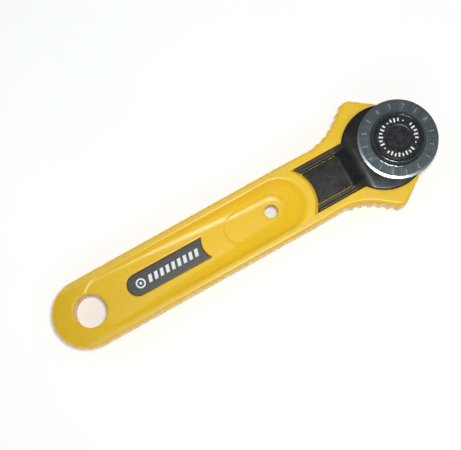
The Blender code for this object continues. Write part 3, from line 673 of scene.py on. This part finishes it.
def marks(name, slabs, surface, thickness):
    """One piece of many thin marks; each slab is an outline, or a pair of outlines for a ring.

    Neighbours differ a little in thickness, so that strokes that cross never share a face.
    """
    shape = bmesh.new()
    for i, slab in enumerate(slabs):
        outer, inner = slab if isinstance(slab, tuple) else (slab, None)
        add_mark(shape, outer, surface, thickness * (1 + 0.1 * (i % 3)), inner)
    return placed(name, closed_mesh(name, shape))


def ring(center, radius, width, count=40):
    """The two outlines of a flat ring."""
    return arc(center, radius, 0, 360, count)[:-1], arc(center, radius - width, 0, 360, count)[:-1]


# Figures as strokes in a box one high and FIGURE_WIDTH wide, from its foot.
FIGURE_WIDTH = 0.6
EIGHT = [(0.30, 1.0), (0.16, 0.95), (0.10, 0.76), (0.20, 0.60), (0.40, 0.46), (0.50, 0.26), (0.44, 0.05),
         (0.30, 0.0)]
FIGURES = {
    "1": [[(0.12, 0.78), (0.32, 1.0), (0.32, 0.0)]],
    "2": [[(0.04, 0.78), (0.16, 0.96), (0.38, 1.0), (0.54, 0.84), (0.52, 0.62), (0.04, 0.03),
           (0.58, 0.03)]],
    "3": [[(0.05, 0.97), (0.52, 0.97), (0.26, 0.60), (0.50, 0.50), (0.56, 0.24), (0.40, 0.03),
           (0.05, 0.06)]],
    "4": [[(0.44, 0.0), (0.44, 1.0)], [(0.42, 1.0), (0.05, 0.34)], [(0.03, 0.30), (0.60, 0.30)]],
    "5": [[(0.54, 0.97), (0.12, 0.97), (0.08, 0.56), (0.36, 0.62), (0.56, 0.40), (0.50, 0.12),
           (0.28, 0.02), (0.04, 0.08)]],
    "6": [[(0.48, 0.98), (0.18, 0.72), (0.05, 0.36), (0.14, 0.07), (0.32, 0.0)],
          [(0.30, 0.0), (0.50, 0.12), (0.54, 0.34), (0.40, 0.54), (0.20, 0.52), (0.08, 0.40)]],
    "7": [[(0.04, 0.97), (0.56, 0.97), (0.22, 0.0)]],
    "8": [EIGHT, [(FIGURE_WIDTH - x, y) for x, y in EIGHT]],
}


def turned(points, angle, radius):
    """Points drawn upright at the top of a circle about the bolt, turned round to an angle in degrees."""
    turn = Matrix.Rotation(math.radians(angle - 90), 2)
    return [tuple(turn @ Vector((x, y + radius)) + Vector((BOLT_X, 0))) for x, y in points]


def make_dial():
    """Stamped dial on the blade: bars and plain figures in turn, to show how far it has been turned on."""
    slabs = []
    for i in range(DIAL_STEPS):
        angle = DIAL_FIRST + i * 360 / DIAL_STEPS
        if i % 2:
            bar = outline_of([(0, 0), (0, DIAL_BAR)], DIAL_STROKE * 1.25)
            slabs.append(turned(bar, angle, DIAL_RADIUS))
            continue
        for line in FIGURES[str(DIAL_STEPS // 2 - i // 2)]:
            grown = [((x - FIGURE_WIDTH / 2) * FIGURE_HEIGHT, y * FIGURE_HEIGHT) for x, y in line]
            slabs.append(turned(outline_of(grown, DIAL_STROKE), angle, DIAL_RADIUS + 0.1))
    return marks("blade_dial", slabs, lambda x, y: BLADE_HIGH, INK_THICK)


def make_cap_print():
    """White scale round the cap: bars in four groups with dots between them."""
    slabs = []
    for start, count in CAP_GROUPS:
        for i in range(count):
            low = CAP_BAND_LOW if i % 2 else CAP_BAND_LOW + CAP_BAR_CUT
            bar = outline_of([(0, low), (0, CAP_BAND_HIGH)], CAP_BAR_WIDTH)
            slabs.append(turned(bar, start + i * CAP_BAR_STEP, 0))
        dot = arc((0, (CAP_BAND_LOW + CAP_BAND_HIGH) / 2), CAP_DOT_RADIUS, 0, 360, 16)[:-1]
        slabs.append(turned(dot, start - CAP_DOT_BACK * CAP_BAR_STEP, 0))
    return marks("cap_scale", slabs, lambda x, y: CAP_HIGH, INK_THICK)


def make_chevron():
    """Raised arrowhead on the guard's tongue that shows which way it slides."""
    tip = (CHEVRON_X + CHEVRON_HALF, CHEVRON_Y)
    tails = [(CHEVRON_X - CHEVRON_HALF / 2, CHEVRON_Y + side * CHEVRON_HALF) for side in (1, -1)]
    outline = outline_of([tails[0], tip, tails[1]], CHEVRON_STROKE)
    return marks("tongue_chevron", [outline], lambda x, y: THICK, CHEVRON_THICK)


def make_plate_print():
    """White sign on the label: a wheel and the slanting dashes of its cut."""
    slabs = [ring((WHEEL_X, 0), WHEEL_RADIUS, WHEEL_RIM), arc((WHEEL_X, 0), WHEEL_HUB, 0, 360, 20)[:-1]]
    for i in range(DASH_COUNT):
        foot = DASH_START + i * DASH_PITCH
        slabs.append([(foot, -DASH_HALF), (foot + DASH_WIDTH, -DASH_HALF),
                      (foot + DASH_WIDTH + DASH_LEAN, DASH_HALF), (foot + DASH_LEAN, DASH_HALF)])
    return marks("label_sign", slabs, lambda x, y: ramp_height(x) + PLATE_LIFT, LABEL_INK_THICK)


# ---------------------------------------------------------------- materials

class Shader:
    """A material's node tree with short calls for the nodes that the finishes below share."""

    def __init__(self, name):
        self.material = bpy.data.materials.new(name)
        self.material.use_nodes = True
        self.tree = self.material.node_tree
        self.shader = self.tree.nodes["Principled BSDF"]
        self.place = self.add("ShaderNodeTexCoord").outputs["Object"]

    def add(self, kind, **settings):
        made = self.tree.nodes.new(kind)
        for key, value in settings.items():
            setattr(made, key, value)
        return made

    def link(self, source, target):
        self.tree.links.new(source, target)

    def set(self, **values):
        """Constants on the shader's own sockets."""
        for key, value in values.items():
            self.shader.inputs[key.replace("_", " ")].default_value = value

    def color(self, source):
        self.link(source, self.shader.inputs["Base Color"])

    def roughness(self, source):
        self.link(source, self.shader.inputs["Roughness"])

    def noise(self, scale, detail=3, rough=0.5, vector=None):
        made = self.add("ShaderNodeTexNoise")
        made.inputs["Scale"].default_value = scale
        made.inputs["Detail"].default_value = detail
        made.inputs["Roughness"].default_value = rough
        self.link(vector or self.place, made.inputs["Vector"])
        return made.outputs["Fac"]

    def stretched(self, x, y, z):
        """The object's coordinates, scaled apart along the axes."""
        made = self.add("ShaderNodeMapping")
        made.inputs["Scale"].default_value = (x, y, z)
        self.link(self.place, made.inputs["Vector"])
        return made.outputs["Vector"]

    def ramp(self, source, *stops):
        """Colours along a value, each stop (position, colour)."""
        made = self.add("ShaderNodeValToRGB")
        while len(made.color_ramp.elements) < len(stops):
            made.color_ramp.elements.new(0.5)
        for element, (position, color) in zip(made.color_ramp.elements, stops):
            element.position = position
            element.color = (*color, 1)
        self.link(source, made.inputs["Fac"])
        return made.outputs["Color"]

    def spread(self, source, low, high, start=0.0, end=1.0):
        """The value as it goes from start to end, drawn out to run from low to high."""
        made = self.add("ShaderNodeMapRange")
        for key, value in (("From Min", start), ("From Max", end), ("To Min", low), ("To Max", high)):
            made.inputs[key].default_value = value
        self.link(source, made.inputs["Value"])
        return made.outputs["Result"]

    def mix(self, factor, first, second, how="MIX"):
        made = self.add("ShaderNodeMix", data_type="RGBA", blend_type=how)
        for value, index in ((factor, 0), (first, 6), (second, 7)):
            if isinstance(value, bpy.types.NodeSocket):
                self.link(value, made.inputs[index])
            else:
                made.inputs[index].default_value = (*value, 1) if isinstance(value, tuple) else value
        return made.outputs[2]

    def math(self, how, *values):
        made = self.add("ShaderNodeMath", operation=how)
        for socket, value in zip(made.inputs, values):
            if isinstance(value, bpy.types.NodeSocket):
                self.link(value, socket)
            else:
                socket.default_value = value
        return made.outputs[0]

    def bump(self, *layers):
        """Bumps in turn, each of (height, strength, depth in millimetres)."""
        normal = None
        for height, strength, depth in layers:
            made = self.add("ShaderNodeBump")
            made.inputs["Strength"].default_value = strength
            made.inputs["Distance"].default_value = depth * MM
            self.link(height, made.inputs["Height"])
            if normal:
                self.link(normal, made.inputs["Normal"])
            normal = made.outputs["Normal"]
        self.link(normal, self.shader.inputs["Normal"])

    def edges(self):
        """How sharply the surface turns close by, for wear along edges: 0 where it runs on flat."""
        eased = self.add("ShaderNodeBevel", samples=8)
        eased.inputs["Radius"].default_value = WEAR_WIDTH * MM
        turn = self.add("ShaderNodeVectorMath", operation="DOT_PRODUCT")
        self.link(eased.outputs["Normal"], turn.inputs[0])
        self.link(self.add("ShaderNodeNewGeometry").outputs["Normal"], turn.inputs[1])
        return self.spread(turn.outputs["Value"], 1, 0, 0.80, 0.97)

    def tilt(self, level, steep):
        """0 where the height of the surface's normal is level or more, 1 where it is steep or less."""
        parts = self.add("ShaderNodeSeparateXYZ")
        self.link(self.add("ShaderNodeTexCoord").outputs["Normal"], parts.inputs[0])
        return self.spread(self.math("ABSOLUTE", parts.outputs[2]), 1, 0, steep, level)

    def axis(self, index):
        """One of the object's coordinates, in metres."""
        parts = self.add("ShaderNodeSeparateXYZ")
        self.link(self.place, parts.inputs[0])
        return parts.outputs[index]

    def gray(self, source):
        made = self.add("ShaderNodeCombineColor")
        for socket in made.inputs:
            self.link(source, socket)
        return made.outputs[0]

    def polar(self):
        """Distance from the bolt's axis in metres, and the angle round it."""
        x, y = self.math("SUBTRACT", self.axis(0), BOLT_X * MM), self.axis(1)
        square = self.math("ADD", self.math("MULTIPLY", x, x), self.math("MULTIPLY", y, y))
        return self.math("POWER", square, 0.5), self.math("ARCTAN2", y, x)

    def swept(self, radius, angle, along, around):
        """Noise coordinates that run smoothly round the bolt, scaled along the radius and around it."""
        made = self.add("ShaderNodeCombineXYZ")
        self.link(self.math("MULTIPLY", self.math("COSINE", angle), float(around)), made.inputs[0])
        self.link(self.math("MULTIPLY", self.math("SINE", angle), float(around)), made.inputs[1])
        self.link(self.math("MULTIPLY", radius, float(along)), made.inputs[2])
        return made.outputs[0]


def yellow_plastic():
    """The handle: painted shade darker towards the butt, on the recess walls and, browner, on the side
    walls and ribs; duller and greyer in patches on the rims; paler along its edges.
    """
    s = Shader("yellow_abs")
    tint = s.ramp(s.noise(45, 3, 0.6), (0.3, (0.80, 0.495, 0.016)), (0.7, (0.84, 0.54, 0.021)))
    # Painted shade: the yellow grows darker towards the butt, as the light falls off away from the middle.
    painted_falloff = s.spread(s.axis(0), 0.76, 1.0, -0.074, -0.012)
    tint = s.mix(1.0, tint, s.gray(painted_falloff), "MULTIPLY")
    rim = s.spread(s.math("ABSOLUTE", s.axis(1)), 0, 1, RIM_HALF * MM, (RIM_HALF + 1) * MM)
    rim = s.math("MULTIPLY", rim, s.spread(s.noise(160, 3, 0.5), 0.35, 0.6, 0.35, 0.65))
    rim = s.math("MULTIPLY", rim, s.spread(s.axis(0), 1.0, 0.25, WAIST_X * MM, (WAIST_X + 12) * MM))
    tint = s.mix(rim, tint, (0.66, 0.50, 0.13))
    # Painted shade: sloping walls take a deeper orange yellow, as light bounced inside the recess tints
    # them.
    tint = s.mix(s.tilt(0.98, 0.80), tint, (0.80, 0.455, 0.014))
    # Painted shade: steep side walls and the ribs turn darker and browner in patches, as where little
    # light reaches them.
    side = s.math("MULTIPLY", s.tilt(0.75, 0.1), s.spread(s.noise(140, 3, 0.5), 0.50, 0.60, 0.35, 0.65))
    tint = s.mix(side, tint, (0.56, 0.42, 0.17))
    worn = s.math("MULTIPLY", s.edges(), s.spread(s.noise(300, 3, 0.6), 0.16, 0.28, 0.35, 0.65))
    s.color(s.mix(worn, tint, (0.93, 0.68, 0.17)))
    s.roughness(s.spread(s.noise(600, 4, 0.6), 0.24, 0.30, 0.3, 0.7))
    s.set(Specular_IOR_Level=0.20, Subsurface_Weight=0.12, Subsurface_Radius=(0.002, 0.0012, 0.0003),
          Subsurface_Scale=0.6)
    s.bump((s.noise(5200, 2, 0.5), 0.05, 0.01), (s.noise(420, 3, 0.5), 0.06, 0.02))
    return s.material


def black_plastic(name, rails=False):
    """Moulded black plastic; rails adds a painted brown reflection of the yellow channel walls, streaked
    along the guard's rails.
    """
    s = Shader(name)
    dark, light = (0.007, 0.00728, 0.00714), (0.0168, 0.0168, 0.0161)
    tint = s.ramp(s.noise(700, 6, 0.75), (0.42, dark), (0.78, light))
    if rails:
        # Painted reflection: the rails outside the slots take a streaked brown, as the yellow channel
        # walls would show in them.
        across = s.spread(s.math("ABSOLUTE", s.axis(1)), 0, 1, RAIL_Y * MM, (RAIL_Y + 0.3) * MM)
        along = s.spread(s.axis(0), 1, 0, SLOPE_X * MM, SLOPE_TOP_X * MM)
        drawn = s.spread(s.noise(1, 3, 0.6, s.stretched(60, 2600, 60)), 0.35, 1.0, 0.35, 0.65)
        painted_rail_reflection = s.math("MULTIPLY", s.math("MULTIPLY", across, along), drawn)
        tint = s.mix(painted_rail_reflection, tint, (0.070, 0.056, 0.036))
    worn = s.math("MULTIPLY", s.edges(), 0.45)
    s.color(s.mix(worn, tint, (0.14, 0.135, 0.125)))
    s.roughness(s.spread(s.noise(300, 4, 0.6), 0.20, 0.28, 0.3, 0.7))
    s.set(Specular_IOR_Level=0.28)
    s.bump((s.noise(6500, 2, 0.5), 0.12, 0.01), (s.noise(500, 3, 0.5), 0.06, 0.02))
    return s.material


def cap_paint():
    """Satin paint under the cap's print."""
    s = Shader("cap_paint")
    mottle = s.noise(600, 4, 0.6)
    s.color(s.ramp(mottle, (0.35, (0.009, 0.011, 0.013)), (0.75, (0.018, 0.021, 0.024))))
    s.roughness(s.spread(mottle, 0.22, 0.32, 0.3, 0.7))
    s.set(Specular_IOR_Level=0.25)
    s.bump((s.noise(5200, 2, 0.5), 0.06, 0.01))
    return s.material


def gloss_plastic():
    """The bolt's head: polished black with smears from fingers."""
    s = Shader("gloss_black")
    smear = s.noise(1, 4, 0.6, s.stretched(300, 700, 300))
    s.color(s.ramp(smear, (0.4, (0.010, 0.0135, 0.0165)), (0.75, (0.020, 0.026, 0.031))))
    s.roughness(s.spread(smear, 0.10, 0.22, 0.35, 0.7))
    s.set(Coat_Weight=0.4, Coat_Roughness=0.08)
    s.bump((s.noise(900, 3, 0.5), 0.05, 0.02))
    return s.material


def label_ink():
    """The label's dark ground."""
    s = Shader("label_ink")
    mottle = s.noise(1400, 4, 0.65)
    s.color(s.ramp(mottle, (0.35, (0.021, 0.020, 0.017)), (0.7, (0.036, 0.034, 0.030))))
    s.roughness(s.spread(mottle, 0.26, 0.36, 0.3, 0.7))
    s.set(Specular_IOR_Level=0.35)
    s.bump((s.noise(4500, 2, 0.5), 0.06, 0.01))
    return s.material


def worn_print(name, faded, fresh, fade, roughness):
    """Printed or stamped marks that have worn thin in specks."""
    s = Shader(name)
    worn = s.noise(fade[2], 3, 0.7)
    s.color(s.ramp(worn, (fade[0], faded), (fade[1], fresh)))
    s.roughness(s.spread(worn, *roughness))
    s.bump((worn, 0.2, 0.01))
    return s.material


def white_ink():
    return worn_print("white_ink", (0.42, 0.43, 0.44), (0.74, 0.76, 0.76), (0.30, 0.46, 3800), (0.45, 0.6))


def stamped():
    return worn_print("dial_stamp", (0.13, 0.15, 0.16), (0.30, 0.33, 0.35), (0.35, 0.6, 2500), (0.4, 0.6))


def blade_steel():
    """Ground steel: fine rings, streaks from the centre out, and a darker, duller bevel."""
    s = Shader("blade_steel")
    radius, angle = s.polar()
    rings = s.noise(1, 4, 0.7, s.swept(radius, angle, 9000, 0.6))
    streaks = s.noise(1, 4, 0.65, s.swept(radius, angle, 60, 9))
    cloud = s.noise(1, 3, 0.6, s.swept(radius, angle, 30, 1.1))
    tone = s.ramp(cloud, (0.3, (0.22, 0.285, 0.305)), (0.7, (0.32, 0.38, 0.40)))
    tone = s.mix(s.spread(streaks, 0.0, 0.6, 0.5, 0.75), tone, (0.66, 0.72, 0.74))
    tone = s.mix(s.spread(rings, 0.0, 0.35, 0.35, 0.75), tone, (0.24, 0.28, 0.31))
    flat = BLADE_RADIUS - BLADE_BEVEL
    ground = s.spread(radius, 0, 1, flat * MM, (flat + 0.1) * MM)
    s.color(s.mix(s.math("MULTIPLY", ground, 0.7), tone, (0.15, 0.185, 0.20)))
    polish = s.spread(rings, 0.12, 0.20, 0.3, 0.7)
    s.roughness(s.math("ADD", polish, s.math("MULTIPLY", ground, 0.12)))
    s.set(Metallic=1.0)
    s.bump((rings, 0.05, 0.01))
    return s.material


def plain_metal(name, scale, dull, bright, roughness, bump):
    """Bare metal with a fine grain; dull and bright are stops of (position, colour)."""
    s = Shader(name)
    grain = s.noise(scale, 4, 0.6)
    s.color(s.ramp(grain, dull, bright))
    s.roughness(s.spread(grain, *roughness, 0.3, 0.7))
    s.set(Metallic=1.0)
    s.bump((grain, bump, 0.01))
    return s.material


def zinc_steel():
    dull, bright = (0.35, (0.50, 0.50, 0.49)), (0.7, (0.64, 0.64, 0.63))
    return plain_metal("zinc_steel", 2600, dull, bright, (0.28, 0.45), 0.15)


def brass():
    dull, bright = (0.3, (0.62, 0.42, 0.16)), (0.7, (0.80, 0.60, 0.28))
    return plain_metal("insert_brass", 1800, dull, bright, (0.25, 0.42), 0.12)


def floor_finish():
    """Pale matt board that gives back a little of the light round it."""
    s = Shader("pale_floor")
    soft = s.noise(14, 3, 0.5)
    s.color(s.ramp(soft, (0.3, (0.90, 0.90, 0.90)), (0.7, (0.93, 0.93, 0.925))))
    s.roughness(s.spread(soft, 0.7, 0.85))
    s.set(Emission_Color=(1.0, 0.99, 0.97, 1), Emission_Strength=0.09)
    s.bump((s.noise(900, 3, 0.5), 0.05, 0.05))
    return s.material


def paint(made, material):
    made.data.materials.clear()
    made.data.materials.append(material)


# ---------------------------------------------------------------- stage

def area_light(name, direction, elevation, distance, size, power):
    """A soft light at an azimuth in degrees (0 is +X) and an elevation, aimed at the object.

    The distance and the size are in metres, and the power is in watts.
    """
    a, e = math.radians(direction), math.radians(elevation)
    place = Vector((math.cos(a) * math.cos(e), math.sin(a) * math.cos(e), math.sin(e))) * distance
    data = bpy.data.lights.new(name, "AREA")
    data.shape = "RECTANGLE"
    data.size, data.size_y = size
    data.energy = power
    made = placed(name, data)
    made.location = place
    made.rotation_euler = (-place).to_track_quat("-Z", "Y").to_euler()


def studio_sky():
    """Soft light all round that falls off towards the top, as in a white tent with an open roof."""
    world = bpy.data.worlds.new("studio")
    world.use_nodes = True
    tree = world.node_tree
    place = tree.nodes.new("ShaderNodeTexCoord")
    height = tree.nodes.new("ShaderNodeSeparateXYZ")
    fall = tree.nodes.new("ShaderNodeMapRange")
    for key, value in (("From Min", 0.4), ("From Max", 0.97), ("To Min", 0.66), ("To Max", 0.14)):
        fall.inputs[key].default_value = value
    tree.links.new(place.outputs["Generated"], height.inputs[0])
    tree.links.new(height.outputs[2], fall.inputs["Value"])
    tree.links.new(fall.outputs["Result"], tree.nodes["Background"].inputs["Strength"])
    tree.nodes["Background"].inputs["Color"].default_value = (0.90, 0.96, 1.0, 1)
    return world


def make_floor():
    shape = bmesh.new()
    bmesh.ops.create_grid(shape, x_segments=8, y_segments=8, size=FLOOR_HALF,
                          matrix=Matrix.Translation((0, 0, -FLOOR_GAP * MM)))
    mesh = bpy.data.meshes.new("floor")
    shape.to_mesh(mesh)
    shape.free()
    floor = finished("floor", mesh)
    paint(floor, floor_finish())


def make_light():
    bpy.context.scene.world = studio_sky()
    area_light("key", 299, 84, 0.49, (0.08, 0.08), 1.5)
    area_light("fill", 262, 40, 1.0, (0.8, 0.4), 0.5)
    area_light("side", 130, 35, 1.1, (0.7, 0.4), 0.4)
    bpy.context.scene.view_settings.view_transform = "Standard"


def make_camera():
    data = bpy.data.cameras.new("camera")
    data.lens = CAMERA_LENS
    data.sensor_width = 36
    data.clip_start = 0.01
    data.clip_end = 20
    made = placed("camera", data)
    made.location = CAMERA_PLACE
    made.rotation_euler = [math.radians(v) for v in CAMERA_TURN]
    bpy.context.scene.camera = made


# ---------------------------------------------------------------- assembly

def stand_in(made, node, body, material):
    """A detailed piece takes the place of a CAD node on its body."""
    paint(made, material)
    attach(made, body)
    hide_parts(node)


def extra(made, body, material):
    """A small detail that rides with a body on top of the piece that stands in for a node."""
    paint(made, material)
    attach(made, body)


def build():
    make_camera()
    make_floor()
    make_light()
    black = black_plastic("black_abs")
    # The guard's black, with a painted reflection of the yellow channel walls on its rails.
    painted_rail_reflection = black_plastic("black_abs_rail_reflection", rails=True)
    steel = zinc_steel()
    stand_in(make_handle(), "handle", "handle", yellow_plastic())
    stand_in(make_guard(), "blade_guard", "guard", painted_rail_reflection)
    stand_in(make_blade(), "blade", "blade", blade_steel())
    stand_in(make_head(), "bolt_head", "handle", gloss_plastic())
    stand_in(make_cap(), "bolt_cap_disc", "handle", cap_paint())
    stand_in(make_plate(), "name_plate", "handle", label_ink())
    ink = white_ink()
    extra(make_plate_print(), "handle", ink)
    extra(make_cap_print(), "handle", ink)
    extra(make_dial(), "blade", stamped())
    extra(make_chevron(), "guard", black)
    paint(frame["nodes"]["bolt_stud"], steel)
    paint(frame["nodes"]["spring_washer"], steel)
    stand_in(make_nut(), "nut", "nut", black)
    stand_in(make_insert(), "nut_insert", "nut", brass())


build()
